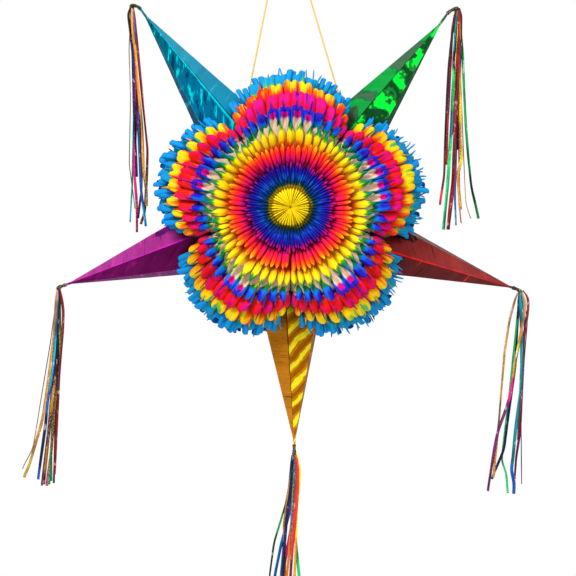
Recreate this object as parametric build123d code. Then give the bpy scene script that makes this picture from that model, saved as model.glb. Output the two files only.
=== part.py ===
from build123d import *
from math import cos, radians, sin, tan
import os

# Hanging five-point star pinata, millimetres. +Z is up and -Y is the decorated front.
# The origin is where a hook or a rope bears on the inside of the string's top loop.
# Shapes are made round the flower's centre with the first direction up, turned about the
# depth axis to their place, and lowered to hang below the loop.

# ---- driving dimensions --------------------------------------------------------------
CORE_APOTHEM = 92.0        # five-sided cardboard drum, centre to the middle of a side
CORE_HALF_DEPTH = 58.0     # to the outer faces of the two panels
BOARD = 3.0                # corrugated cardboard
FLOWER_HALF_DEPTH = 95.0   # to the front and the back of the tissue
LOBE_OFFSET = 89.5         # flower's centre to the middle of one tissue lobe
LOBE_RADIUS = 90.5         # each lobe's own radius in plan
CONE_SHEET = 0.9           # foil-faced card
CONE_FLANGE = 5.0          # glue tabs round the foot of a cone
NECK_RADIUS = 1.6          # twisted end of a cone, where its streamers are tied
TIE_RADIUS = 2.6           # knot that binds the streamers
TIE_GAP = 0.4              # between the knot and what it hangs from or holds
THROAT_RADIUS = 1.5        # bundle of streamers just below its knot
THROAT_LENGTH = 14.0       # from the knot's middle to where the bundle starts to spread
GLUE_GAP = 0.9             # soft tissue stands this far off its neighbours
CONE_GAP = 1.5             # tissue round a cone
CARD = 1.2                 # thin card that ends a tissue pad at a seam
CARD_GAP = 1.0             # round a cone and the core

# Each seam between two lobes holds a cone. Directions run from +X towards +Z, in degrees.
SEAMS = {"upper_left": 126, "upper_right": 54, "lower_left": 198, "lower_right": -18, "bottom": -90}
LOBES = {"top": 90, "right": 18, "lower_right": -54, "lower_left": 234, "left": 162}
SECTOR = 72.0              # one lobe's share of the turn
# corner radius that a cone loses for each millimetre of height
CONE_SLOPE = {
    "upper_left": 0.221,
    "upper_right": 0.214,
    "lower_left": 0.237,
    "lower_right": 0.218,
    "bottom": 0.240,
}
# a cone's front ridge, in degrees off its middle line
CONE_TWIST = {"upper_left": 14, "upper_right": -12, "lower_left": 12, "lower_right": 10, "bottom": 8}
# The hand-folded cones lean a little. Places along a seam's direction, and clockwise of it:
# the foot's middle on the core, the foil's tip, the neck's bend and the streamers' knot.
CONE_LINE = {
    "upper_left": ((92, -3), (322, -5), (340, -5), (347, -12)),
    "upper_right": ((92, 7), (315, 16), (340, 16), (350, 22)),
    "lower_left": ((92, -5), (310, -3), (322, -3), (328, -3)),
    "lower_right": ((92, 8), (310, 8), (320, 8), (326, 8)),
    "bottom": ((92, 0), (308, -5), (320, -5), (326, -5)),
}
# streamer bundles: length, sideways lean at the bottom, half-width at the bottom
BUNDLES = {
    "upper_left": (298, 8, 13),
    "upper_right": (298, -6, 14),
    "lower_left": (264, -34, 24),
    "lower_right": (264, -30, 26),
    "bottom": (286, -20, 28),
}

# ---- hanging string ------------------------------------------------------------------
STRING_RADIUS = 1.1
LOOP_HALF_WIDTH = 12.0
LOOP_GAP = 0.6             # between the loop and the knot's core
KNOT_CORE_RADIUS = 2.6
KNOT_TURN_RADIUS = 4.0     # middle of the outer turn round the knot's core
STOP_KNOT_RADIUS = 4.0
# a leg's lower end inside its upper cone, and the top knot, from the flower's centre
ANCHOR = {"left": Vector(-61.6, 0, 129), "right": Vector(72, 0, 129)}
KNOT = Vector(-8, 0, 398)
LOOP_BOTTOM = KNOT_CORE_RADIUS + LOOP_GAP + STRING_RADIUS
LOOP_DROP = 30.0           # top knot below the loop's bearing point
KNOT_GAP = 0.3             # a leg's ends stand this far off the knots
NOD_SLOT_ANGLE = 15.0      # room for the string as the star nods
SLOT_REACH = 70.0          # the slot's length along the string
SLOT_START = 3.4           # the slot's half-width at the anchor

# ---- filling door in the back ---------------------------------------------------------
DOOR_WIDTH = 80.0
DOOR_HEIGHT = 72.0
DOOR_GAP = 0.5
THUMB_RADIUS = 9.0
FRONT_HUB_RADIUS = 30.0    # the front lobes stop here, round the rosette
BACK_HUB_RADIUS = 72.0     # the back lobes stop here, round the door

CENTRE = Vector(0, 0, -LOOP_DROP) - KNOT
CORE_HALF_WIDTH = CORE_HALF_DEPTH - BOARD
CUT_OVER = 1.0             # a cutting tool runs this far past what it cuts


def turned(shape, direction):
    """A shape that was made pointing up, turned about the depth axis to point in a direction."""
    return Rot(0, 90 - direction, 0) * shape


def outward(direction, distance):
    """The point that far from the flower's centre, in its plane."""
    return Vector(distance * cos(radians(direction)), 0, distance * sin(radians(direction)))


def depth_prism(outline, low, high):
    """An outline in the X-Z plane, carried from depth low to depth high."""
    return extrude(Plane.XZ.offset(-low) * outline, amount=-(high - low))


def spun(points):
    """A (radius, depth) outline turned about the flower's depth axis."""
    return revolve(make_face(Plane.XY * Polyline(*points, close=True)), Axis.Y)


def pentagon(apothem):
    return RegularPolygon(apothem / cos(radians(36)), 5, rotation=90)


# ---- cardboard core --------------------------------------------------------------------
def core_block(apothem, half_depth):
    return depth_prism(pentagon(apothem), -half_depth, half_depth)


def core_side_band():
    hollow = core_block(CORE_APOTHEM - BOARD, CORE_HALF_WIDTH + CUT_OVER)
    return core_block(CORE_APOTHEM, CORE_HALF_WIDTH) - hollow


def core_front_panel():
    return depth_prism(pentagon(CORE_APOTHEM), -CORE_HALF_DEPTH, -CORE_HALF_WIDTH)


def core_back_panel():
    panel = depth_prism(pentagon(CORE_APOTHEM), CORE_HALF_WIDTH, CORE_HALF_DEPTH)
    thumb = Pos(0, -DOOR_HEIGHT / 2) * Circle(THUMB_RADIUS)
    opening = Rectangle(DOOR_WIDTH, DOOR_HEIGHT) + thumb
    return panel - depth_prism(opening, CORE_HALF_WIDTH - CUT_OVER, CORE_HALF_DEPTH + CUT_OVER)


def fill_door():
    outline = Rectangle(DOOR_WIDTH - 2 * DOOR_GAP, DOOR_HEIGHT - 2 * DOOR_GAP)
    return depth_prism(outline, CORE_HALF_WIDTH, CORE_HALF_DEPTH)


# ---- foil cones ------------------------------------------------------------------------
def hexagon(corner_radius, place, twist):
    """A cone's section at (height, sideways) in its own frame, which points up."""
    height, aside = place
    return Pos(aside, 0, height) * RegularPolygon(corner_radius, 6, rotation=90 + twist)


def foot_radius(name):
    """A cone's corner radius where it stands on the core."""
    tip_height = CONE_LINE[name][1][0]
    return NECK_RADIUS + CONE_SLOPE[name] * (tip_height - CORE_APOTHEM)


def cone_solid(name, grown=0.0):
    """The six-sided pyramid of a cone, filled, from the core's side to its neck."""
    foot, tip, _, _ = CONE_LINE[name]
    twist = CONE_TWIST[name]
    return loft([hexagon(foot_radius(name) + grown, foot, twist), hexagon(NECK_RADIUS + grown, tip, twist)])


def cone_hollow(name):
    """The space inside a cone, which ends where its walls meet, below the neck."""
    (foot_height, foot_aside), (tip_height, tip_aside), _, _ = CONE_LINE[name]
    twist = CONE_TWIST[name]
    corner_sheet = CONE_SHEET / cos(radians(30))
    share = 1 - 2 * NECK_RADIUS / CONE_SLOPE[name] / (tip_height - foot_height)
    top = (
        foot_height + share * (tip_height - foot_height),
        foot_aside + share * (tip_aside - foot_aside),
    )
    foot = hexagon(foot_radius(name) - corner_sheet, (foot_height, foot_aside), twist)
    return loft([foot, hexagon(NECK_RADIUS, top, twist)])


def cone_room(name, gap):
    """The space that a cone and its glue tabs take, with a gap all round, in its place."""
    _, aside = CONE_LINE[name][0]
    below = (CORE_APOTHEM - CUT_OVER, aside)
    tabs = hexagon(foot_radius(name) + CONE_FLANGE + CUT_OVER, below, CONE_TWIST[name])
    return turned(cone_solid(name, gap) + extrude(tabs, amount=CONE_SHEET + 2 * CUT_OVER), SEAMS[name])


def string_cut(side):
    """The way out for the string through an upper cone's sheet and through the tissue."""
    foot = ANCHOR[side]
    along = (KNOT - foot).normalized()
    far_half = SLOT_REACH * tan(radians(NOD_SLOT_ANGLE)) + 2 * STRING_RADIUS
    outline = Polyline(
        (0, -SLOT_START), (SLOT_REACH, -far_half), (SLOT_REACH, far_half), (0, SLOT_START), close=True
    )
    plane = Plane(origin=foot, x_dir=along, z_dir=along.cross(Vector(0, 1, 0)))
    return extrude(plane * make_face(outline), amount=2 * STRING_RADIUS, both=True)


def rod(start, end, radius):
    line = end - start
    return extrude(Plane(origin=start, z_dir=line) * Circle(radius), amount=line.length)


def cone(name):
    """The folded sheet, its glue tabs, and the neck, which runs to just short of the knot."""
    foot, tip, bend, tie_at = [Vector(aside, 0, height) for height, aside in CONE_LINE[name]]
    tabs = hexagon(foot_radius(name) + CONE_FLANGE, (foot.Z, foot.X), CONE_TWIST[name])
    last = tie_at - bend
    neck_end = tie_at - last.normalized() * (TIE_RADIUS + TIE_GAP)
    neck = rod(tip, bend, NECK_RADIUS) + Pos(*bend) * Sphere(NECK_RADIUS) + rod(bend, neck_end, NECK_RADIUS)
    shape = cone_solid(name) + extrude(tabs, amount=CONE_SHEET) - cone_hollow(name) + neck
    shape = turned(shape, SEAMS[name])
    return shape - string_cut(name.removeprefix("upper_")) if name.startswith("upper") else shape


def tie_place(name):
    height, aside = CONE_LINE[name][3]
    direction = SEAMS[name]
    clockwise = Vector(sin(radians(direction)), 0, -cos(radians(direction)))
    return outward(direction, height) + clockwise * aside


def tie(name):
    return Pos(*tie_place(name)) * Sphere(TIE_RADIUS)


def streamers(name):
    """The bundle of foil strips: a thin start below the knot, then a brush that leans and spreads."""
    length, lean, spread = BUNDLES[name]
    top = Pos(0, 0, -TIE_RADIUS - TIE_GAP) * Circle(THROAT_RADIUS)
    waist = Pos(0, 0, -THROAT_LENGTH) * Circle(THROAT_RADIUS)
    end = Pos(lean, 0, -length) * Circle(spread)
    return Pos(*tie_place(name)) * (loft([top, waist]) + loft([waist, end]))


# ---- tissue ----------------------------------------------------------------------------
def lobe_room(hub_radius):
    """One side's tissue, front, before it is cut to a lobe: a puck round the centre and one dome."""
    front = -FLOWER_HALF_DEPTH
    puck = spun([
        (hub_radius, -0.3), (hub_radius, front + 9), (hub_radius + 12, front + 3), (97, front + 2),
        (116, front + 10), (131, front + 28), (138, front + 55), (141, -0.3),
    ])
    profile = [
        (0, -0.3), (0, front), (42, front), (60, front + 7), (74, front + 22), (83, front + 42),
        (88, front + 66), (LOBE_RADIUS, -0.3),
    ]
    dome = Pos(0, 0, LOBE_OFFSET) * spun(profile)
    hub = depth_prism(Circle(hub_radius), front - 1, 1)
    return puck + dome - hub


def seam_wedge():
    """The sector of one lobe, upwards, drawn in from both seams by the glue gap."""
    start = GLUE_GAP / sin(radians(SECTOR / 2))
    far = 260.0
    side = far * tan(radians(SECTOR / 2))
    sector = make_face(Polyline((0, start), (side, start + far), (-side, start + far), close=True))
    return depth_prism(sector, -FLOWER_HALF_DEPTH - 5, FLOWER_HALF_DEPTH + 5)


def tissue_lobe(name, front):
    direction = LOBES[name]
    shape = lobe_room(FRONT_HUB_RADIUS if front else BACK_HUB_RADIUS)
    if not front:
        shape = mirror(shape, about=Plane.XZ)
    shape = turned(shape & seam_wedge(), direction)
    shape -= core_block(CORE_APOTHEM + GLUE_GAP, CORE_HALF_DEPTH + GLUE_GAP)
    for seam, seam_direction in SEAMS.items():
        if abs((seam_direction - direction + 180) % 360 - 180) < SECTOR:
            shape -= cone_room(seam, CONE_GAP)
    if name == "top":
        shape -= string_cut("left")
        shape -= string_cut("right")
    return shape


def seam_cards(name):
    """The two thin cards that end the tissue pads at one seam, before and behind the cone."""
    front = -FLOWER_HALF_DEPTH
    foot = CORE_APOTHEM + CARD_GAP
    panel = CORE_HALF_DEPTH + CARD_GAP / 2
    cards = []
    for side, hub in ((1, FRONT_HUB_RADIUS), (-1, BACK_HUB_RADIUS)):
        outline = [
            (-side * depth, radius)
            for depth, radius in (
                (panel, foot), (panel, hub + 1), (-front - 10, hub + 1), (-front - 5, hub + 14), (-front - 4, 96),
                (-front - 12, 115), (-front - 30, 128), (-front - 54, 135), (30, 135), (30, foot),
            )
        ]
        card = extrude(make_face(Plane.YZ * Polyline(*outline, close=True)), amount=CARD / 2, both=True)
        cards.append(turned(card, SEAMS[name]) - cone_room(name, CARD_GAP))
    return Compound(children=[solid for card in cards for solid in card.solids()])


def front_rosette():
    """Pleated tissue button on a short stalk, glued to the front panel."""
    panel_face = -CORE_HALF_DEPTH
    crown = -FLOWER_HALF_DEPTH - 2
    return spun([
        (0, panel_face), (20, panel_face), (20, crown + 14), (27, crown + 11), (27.5, crown + 6),
        (24, crown + 2), (14, crown), (0, crown),
    ])


# ---- hanging string --------------------------------------------------------------------
def string_leg(side):
    foot = ANCHOR[side]
    along = KNOT - foot
    start_gap = STOP_KNOT_RADIUS + KNOT_GAP
    end_gap = KNOT_TURN_RADIUS + STRING_RADIUS + KNOT_GAP
    plane = Plane(origin=foot + along.normalized() * start_gap, z_dir=along)
    length = along.length - start_gap - end_gap
    print(f"string_{side}: straight, {length:.1f} mm")
    return extrude(plane * Circle(STRING_RADIUS), amount=length)


def stop_knot(side):
    return Pos(*ANCHOR[side]) * Sphere(STOP_KNOT_RADIUS)


def knot_core():
    return Pos(*KNOT) * Sphere(KNOT_CORE_RADIUS)


def knot_turn():
    return Pos(*KNOT) * Torus(KNOT_TURN_RADIUS, STRING_RADIUS)


def hang_loop():
    """A long ring of string, its inside top at the origin once lowered."""
    low = LOOP_BOTTOM + LOOP_HALF_WIDTH
    high = LOOP_DROP + STRING_RADIUS - LOOP_HALF_WIDTH
    half = LOOP_HALF_WIDTH
    path = Wire([
        Line((half, 0, low), (half, 0, high)),
        ThreePointArc((half, 0, high), (0, 0, high + half), (-half, 0, high)),
        Line((-half, 0, high), (-half, 0, low)),
        ThreePointArc((-half, 0, low), (0, 0, low - half), (half, 0, low)),
    ])
    section = Plane(origin=(half, 0, low), z_dir=(0, 0, 1)) * Circle(STRING_RADIUS)
    return Pos(*KNOT) * sweep(section, path=path)


def save(shape, node):
    export_step(Pos(*CENTRE) * shape, f"parts/{node}.step")


os.makedirs("parts", exist_ok=True)
save(core_side_band(), "core_side_band")
save(core_front_panel(), "core_front_panel")
save(core_back_panel(), "core_back_panel")
save(fill_door(), "fill_door")
save(front_rosette(), "front_rosette")
for point in SEAMS:
    save(cone(point), f"cone_{point}")
    save(tie(point), f"tie_{point}")
    save(streamers(point), f"streamers_{point}")
    save(seam_cards(point), f"seam_cards_{point}")
for lobe in LOBES:
    save(tissue_lobe(lobe, front=True), f"front_lobe_{lobe}")
    save(tissue_lobe(lobe, front=False), f"back_lobe_{lobe}")
for hand in ("left", "right"):
    save(string_leg(hand), f"string_{hand}")
    save(stop_knot(hand), f"stop_knot_{hand}")
save(knot_core(), "knot_core")
save(knot_turn(), "knot_turn")
save(hang_loop(), "hang_loop")
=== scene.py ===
import math
import random

import bpy
import numpy as np
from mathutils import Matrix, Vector, noise


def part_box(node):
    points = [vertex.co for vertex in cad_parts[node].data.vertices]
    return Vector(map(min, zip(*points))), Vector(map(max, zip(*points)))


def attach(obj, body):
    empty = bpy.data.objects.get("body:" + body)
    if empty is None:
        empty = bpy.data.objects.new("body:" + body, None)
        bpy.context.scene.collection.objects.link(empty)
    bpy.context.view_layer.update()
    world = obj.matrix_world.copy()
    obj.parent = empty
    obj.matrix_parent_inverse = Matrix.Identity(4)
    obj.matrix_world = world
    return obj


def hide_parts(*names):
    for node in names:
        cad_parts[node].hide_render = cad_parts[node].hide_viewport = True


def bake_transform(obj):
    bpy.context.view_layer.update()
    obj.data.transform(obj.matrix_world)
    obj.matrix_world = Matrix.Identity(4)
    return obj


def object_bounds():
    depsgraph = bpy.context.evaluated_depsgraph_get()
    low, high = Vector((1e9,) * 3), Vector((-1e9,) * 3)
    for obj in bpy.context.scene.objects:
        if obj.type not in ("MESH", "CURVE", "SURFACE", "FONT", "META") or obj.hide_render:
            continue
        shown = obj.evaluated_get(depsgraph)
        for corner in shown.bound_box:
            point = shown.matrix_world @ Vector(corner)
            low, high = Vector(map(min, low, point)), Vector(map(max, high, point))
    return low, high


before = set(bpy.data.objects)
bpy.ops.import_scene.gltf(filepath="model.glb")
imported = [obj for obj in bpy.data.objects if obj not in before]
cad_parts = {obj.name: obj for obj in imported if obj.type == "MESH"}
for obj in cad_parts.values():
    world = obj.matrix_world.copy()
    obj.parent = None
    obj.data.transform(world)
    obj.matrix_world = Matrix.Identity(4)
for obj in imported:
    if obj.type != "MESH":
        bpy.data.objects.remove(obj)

CAD_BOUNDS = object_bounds()
MM = 0.001


def middle(node):
    low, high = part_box(node)
    return (low + high) / 2


CENTRE = middle("front_rosette")
CENTRE.y = 0.0

LOBES = {"top": 90, "right": 18, "lower_right": -54, "lower_left": 234, "left": 162}
HALF_LOBE = 36.0                        # degrees from a lobe's middle line to its seam
LOBE_OFFSET, LOBE_RADIUS = 89.5, 90.5   # each lobe's outline is an arc of a circle
CORE_APOTHEM, CORE_DEPTH = 92.0, 58.0   # the five-sided core: centre to side, and centre to panel
NECK_RADIUS = 1.6

# Each seam between two lobes holds a cone; directions run from +X towards +Z in degrees.
SEAMS = {"upper_left": 126, "upper_right": 54, "lower_left": 198, "lower_right": -18, "bottom": -90}
# how much a cone's radius grows for each millimetre from its tip, and its turn about its own axis in degrees
CONE_SLOPE = {
    "upper_left": 0.221, "upper_right": 0.214, "lower_left": 0.237, "lower_right": 0.218, "bottom": 0.240,
}
CONE_TWIST = {"upper_left": 14, "upper_right": -12, "lower_left": 12, "lower_right": 10, "bottom": 8}
# along a seam's direction and clockwise of it: foot, foil tip, the neck's bend, streamers' knot
CONE_LINE = {
    "upper_left": ((92, -3), (322, -5), (340, -5), (347, -12)),
    "upper_right": ((92, 7), (315, 16), (340, 16), (350, 22)),
    "lower_left": ((92, -5), (310, -3), (322, -3), (328, -3)),
    "lower_right": ((92, 8), (310, 8), (320, 8), (326, 8)),
    "bottom": ((92, 0), (308, -5), (320, -5), (326, -5)),
}


def place(points):
    """Points of the flower's frame, in millimetres, as row-frame metres."""
    return np.asarray(points, float) * MM + np.array(CENTRE)


def outward(direction):
    a = math.radians(direction)
    return np.array([math.cos(a), 0.0, math.sin(a)])


def clockwise(direction):
    """In the flower's plane, the right-hand side of something that points in a direction."""
    a = math.radians(direction)
    return np.array([math.sin(a), 0.0, -math.cos(a)])


def on_line(name, index):
    """One of the four places that CONE_LINE gives for a cone."""
    along, aside = CONE_LINE[name][index]
    return outward(SEAMS[name]) * along + clockwise(SEAMS[name]) * aside


# ---- node materials --------------------------------------------------------------------
def linear(rgb):
    """An 8-bit sRGB colour as linear RGBA."""
    channels = [c / 255 for c in rgb]
    return [c / 12.92 if c <= 0.04045 else ((c + 0.055) / 1.055) ** 2.4 for c in channels] + [1.0]


class Graph:
    """A material's node tree round one Principled shader."""

    def __init__(self, name, **sockets):
        self.material = bpy.data.materials.new(name)
        self.material.use_nodes = True
        self.tree = self.material.node_tree
        self.shader = self.tree.nodes["Principled BSDF"]
        for socket, value in sockets.items():
            self.shader.inputs[socket.replace("_", " ")].default_value = value

    def node(self, kind, inputs=None, **settings):
        made = self.tree.nodes.new(kind)
        for key, value in settings.items():
            setattr(made, key, value)
        for key, value in (inputs or {}).items():
            if isinstance(value, bpy.types.NodeSocket):
                self.tree.links.new(value, made.inputs[key])
            else:
                made.inputs[key].default_value = value
        return made

    def math(self, operation, a, b=0.0, c=0.0):
        return self.node("ShaderNodeMath", {0: a, 1: b, 2: c}, operation=operation).outputs[0]

    def times(self, a, b):
        return self.math("MULTIPLY", a, b)

    def add_share(self, value, share, rest):
        """rest with a share of a value added."""
        return self.math("MULTIPLY_ADD", value, share, rest)

    def centred(self, value):
        """A value that runs from 0 to 1, moved to run from -0.5 to 0.5."""
        return self.math("SUBTRACT", value, 0.5)

    def position(self):
        return self.node("ShaderNodeTexCoord").outputs["Object"]

    def span(self, value, low, high, to_low=0.0, to_high=1.0):
        inputs = {"Value": value, "From Min": low, "From Max": high, "To Min": to_low, "To Max": to_high}
        return self.node("ShaderNodeMapRange", inputs, interpolation_type="SMOOTHSTEP").outputs[0]

    def attribute(self, name):
        return self.node("ShaderNodeAttribute", attribute_name=name).outputs["Fac"]

    def noise(self, scale, detail=2.0, vector=None, stretch=(1, 1, 1), roughness=0.5):
        inputs = {"Vector": vector or self.position(), "Scale": stretch}
        mapped = self.node("ShaderNodeMapping", inputs).outputs[0]
        inputs = {"Vector": mapped, "Scale": scale, "Detail": detail, "Roughness": roughness}
        return self.node("ShaderNodeTexNoise", inputs).outputs["Fac"]

    def ramp(self, factor, stops):
        made = self.node("ShaderNodeValToRGB", {"Fac": factor})
        elements = made.color_ramp.elements
        while len(elements) < len(stops):
            elements.new(0.5)
        for element, (position, rgb) in zip(elements, stops):
            element.position = position
            element.color = linear(rgb)
        return made.outputs["Color"]

    def mix(self, factor, a, b, blend="MIX"):
        """Mixes two sockets, or 8-bit sRGB colours given as tuples."""
        a, b = (linear(c) if isinstance(c, tuple) else c for c in (a, b))
        inputs = {0: factor, 6: a, 7: b}
        return self.node("ShaderNodeMix", inputs, data_type="RGBA", blend_type=blend).outputs[2]

    def bump(self, height, strength, distance):
        inputs = {"Height": height, "Strength": strength, "Distance": distance}
        self.tree.links.new(self.node("ShaderNodeBump", inputs).outputs[0], self.shader.inputs["Normal"])

    def finish(self, colour, roughness=None):
        self.tree.links.new(colour, self.shader.inputs["Base Color"])
        if roughness is not None:
            self.tree.links.new(roughness, self.shader.inputs["Roughness"])
        return self.material


BAND_END = 190.0   # a flower radius of this many millimetres is 1 in the band attribute
# dyes by radius from the flower's centre, in millimetres; a petal may carry the dye of another radius
DYES = [
    (0, (250, 226, 10)), (25.5, (246, 220, 8)), (27, (10, 140, 30)), (30, (0, 90, 160)),
    (36, (0, 104, 214)), (43, (16, 30, 170)), (52, (34, 6, 130)), (58, (200, 0, 120)),
    (66, (236, 10, 70)), (73, (250, 40, 24)), (80, (252, 110, 8)), (86, (252, 200, 6)),
    (98, (250, 224, 8)), (102, (30, 150, 20)), (107, (0, 120, 60)), (112, (0, 118, 184)),
    (118, (0, 104, 216)), (124, (20, 30, 186)), (132, (56, 0, 156)), (136, (196, 0, 134)),
    (141, (216, 0, 100)), (145, (228, 6, 34)), (151, (236, 26, 12)), (155, (246, 92, 6)),
    (159, (250, 190, 4)), (163, (246, 214, 6)), (166, (90, 176, 50)), (170, (0, 142, 186)),
    (190, (0, 134, 222)),
]
CREAM = (226, 194, 166)   # undyed paper


def tissue_material():
    g = Graph("tissue", Roughness=0.7, Specular_IOR_Level=0.12)
    band = g.attribute("band")
    across = g.attribute("across")
    along = g.attribute("along")
    tint = g.attribute("tint")
    wander = g.centred(g.noise(60.0, 3.0))
    drift = g.centred(g.noise(9.0, 1.0))
    lengthwise = {0: g.times(across, 2.6), 1: g.times(tint, 40.0), 2: along}
    streaks = g.centred(g.noise(1.0, 2.0, g.node("ShaderNodeCombineXYZ", lengthwise).outputs[0]))
    shifted = g.add_share(streaks, 0.085, band)
    shifted = g.add_share(wander, 0.045, shifted)
    shifted = g.add_share(drift, 0.070, shifted)
    shifted = g.add_share(g.centred(tint), 0.030, shifted)
    dye = g.ramp(shifted, [(radius / BAND_END, rgb) for radius, rgb in DYES])
    # a cup's hollow is undyed at its foot and magenta towards its mouth
    half = g.math("ABSOLUTE", across)
    star = g.span(along, 0.56, 0.74, 0.60, 0.42)
    star = g.math("SUBTRACT", star, g.span(along, 0.80, 0.97, -0.06, 0.62))
    hollow = g.span(g.math("SUBTRACT", half, star), 0.07, -0.07)
    hollow = g.times(hollow, g.attribute("cup"))
    depths = g.ramp(along, [(0.0, CREAM), (0.64, CREAM), (0.70, (222, 0, 130)), (1.0, (190, 0, 150))])
    dye = g.mix(hollow, dye, depths)
    # tongues just outside the cups have an undyed foot that turns magenta
    foot = g.span(g.add_share(wander, 0.25, along), 0.66, 0.54)
    foot = g.times(foot, g.attribute("pale"))
    feet = g.ramp(along, [(0.0, CREAM), (0.40, CREAM), (0.47, (244, 170, 176)), (0.52, (238, 0, 130))])
    dye = g.mix(foot, dye, feet)
    # the pad behind the petals is undyed only round the cups; elsewhere its dye is darkened: painted shade
    # behind the petals
    inside = g.attribute("inside")
    undyed = g.span(band, 90 / BAND_END, 98 / BAND_END)
    undyed = g.times(undyed, g.span(band, 126 / BAND_END, 116 / BAND_END))
    pad = g.mix(undyed, g.mix(1.0, dye, (170, 150, 160), "MULTIPLY"), CREAM)
    colour = g.mix(inside, dye, pad)
    fibre = g.noise(900.0, 4.0)
    crease = g.noise(150.0, 3.0)
    colour = g.mix(0.14, colour, g.ramp(fibre, [(0.3, (180, 180, 180)), (0.7, (255, 255, 255))]), "MULTIPLY")
    # painted shade: where the shade attribute is low (feet, folds, edges and tips of petals, threads,
    # fingers, the pad and the rosette's creases) the colour is darkened and deepened, varied by crease and
    # streak noise
    shaded_colour = g.mix(1.0, colour, g.mix(0.40, colour, (70, 60, 110)), "MULTIPLY")
    shade = g.add_share(g.centred(crease), 0.20, g.attribute("shade"))
    shade = g.add_share(streaks, 0.55, shade)
    colour = g.mix(g.span(shade, 1.0, 0.0), colour, shaded_colour)
    relief = g.add_share(streaks, 1.6, g.add_share(fibre, 0.3, crease))
    g.bump(relief, 0.32, 0.0009)
    return g.finish(colour)


def foil_material(
    name, base, far, streak, dark=None, size=3.0, stretch=(0.6, 2.0), angle=0, edges=(0.56, 0.66), amount=0.8,
    blots=0.0, ridge=None, ridge_from=1.0, foot=None, bands=None, sheen_bands=0.35, shiny=True,
):
    """Metallised film on card: streaks and crumpled patches of reflected light over a plain dye.

    base and far are the dye at the cone's foot and tip, streak and dark the light and dark patches of
    painted reflection, size, stretch and angle how the patches lie to the fold lines, edges how sharp and
    amount how strong the light ones are, blots how much painted shade darkens the crumples near the foot,
    and foot a darker colour painted over the foot itself, painted shade where the cone goes in under the
    tissue. bands gives the number of bands in 50 mm and their waviness where they repeat. ridge is a line
    of painted reflection along the fold at ridge_from, bright on some cones and dark on others. A face
    that is seen edge-on isn't shiny."""
    g = Graph(
        name, Metallic=0.45 if shiny else 0.0, IOR=1.5 if shiny else 1.08, Specular_IOR_Level=0.15,
        Specular_Tint=(0.22, 0.22, 0.22, 1.0),
    )
    uv = g.node("ShaderNodeUVMap", uv_map="strip").outputs[0]
    place_on = g.node("ShaderNodeSeparateXYZ", {0: g.node("ShaderNodeUVMap", uv_map="face").outputs[0]})
    across, along = place_on.outputs["X"], place_on.outputs["Y"]
    rotation = (0.0, 0.0, math.radians(angle))
    turned = g.node("ShaderNodeMapping", {"Vector": uv, "Rotation": rotation}).outputs[0]
    wave = g.noise(size, 3.0, turned, (*stretch, 1), 0.5)
    fine = g.noise(size * 3.0, 3.0, turned, (*stretch, 1), 0.6)
    if bands:
        per_unit, waviness = bands
        lengthwise = g.node("ShaderNodeSeparateXYZ", {0: turned}).outputs["Y"]
        loose = g.noise(1.4, 3.0, turned, (1, 1, 1), 0.6)
        phase = g.add_share(g.centred(loose), waviness, g.times(lengthwise, per_unit))
        sine = g.math("SINE", g.times(phase, 2 * math.pi))
        wave = g.add_share(sine, 0.5, 0.5)
    value = g.add_share(g.centred(fine), 0.30, wave)
    gap = g.math("ABSOLUTE", g.math("SUBTRACT", across, ridge_from))
    colour = g.mix(g.span(along, 0.0, 0.9), base, far)
    low, high = edges
    if dark:
        colour = g.mix(g.span(value, 1 - low, 1 - high, 0.0, 0.8), colour, dark)
        # painted shade: dark patches in the crumples, strongest near the cone's foot and away from the fold
        blot = g.times(g.noise(2.2, 5.0, uv, (1, 1, 1), 0.65), g.span(along, 0.85, 0.0))
        blot = g.times(blot, g.span(gap, 0.25, 0.85))
        colour = g.mix(g.span(blot, 0.27, 0.30, 0.0, blots), colour, dark)
    colour = g.mix(g.span(value, low, high, 0.0, amount), colour, streak)
    # painted shade: the foot is darkened where the cone goes in under the tissue
    if foot:
        near = g.add_share(g.centred(g.noise(3.0, 3.0, uv)), 0.4, along)
        colour = g.mix(g.span(near, 0.24, 0.08, 0.0, 0.9), colour, foot)
    # painted reflection: a line along the fold, bright on some cones and dark on others
    if ridge:
        line = g.add_share(g.centred(g.noise(5.0, 3.0, uv)), 0.14, gap)
        colour = g.mix(g.span(line, 0.09, 0.02, 0.0, 0.9), colour, ridge)
    soft = g.noise(1.3, 2.0, turned, (0.4, 2.2, 1))
    shine = g.ramp(soft, [(0.32, (140, 140, 140)), (0.66, (255, 255, 255))])
    colour = g.mix(sheen_bands, colour, shine, "MULTIPLY")
    g.bump(g.add_share(fine, 0.5, g.noise(60.0, 3.0)), 0.10, 0.001)
    return g.finish(colour, g.span(fine, 0.2, 0.8, 0.22, 0.36))


def film(base, far, streak, dark=None, **looks):
    """The dyes and looks of one face of a cone, as foil_material takes them."""
    return dict(base=base, far=far, streak=streak, dark=dark, **looks)


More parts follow.
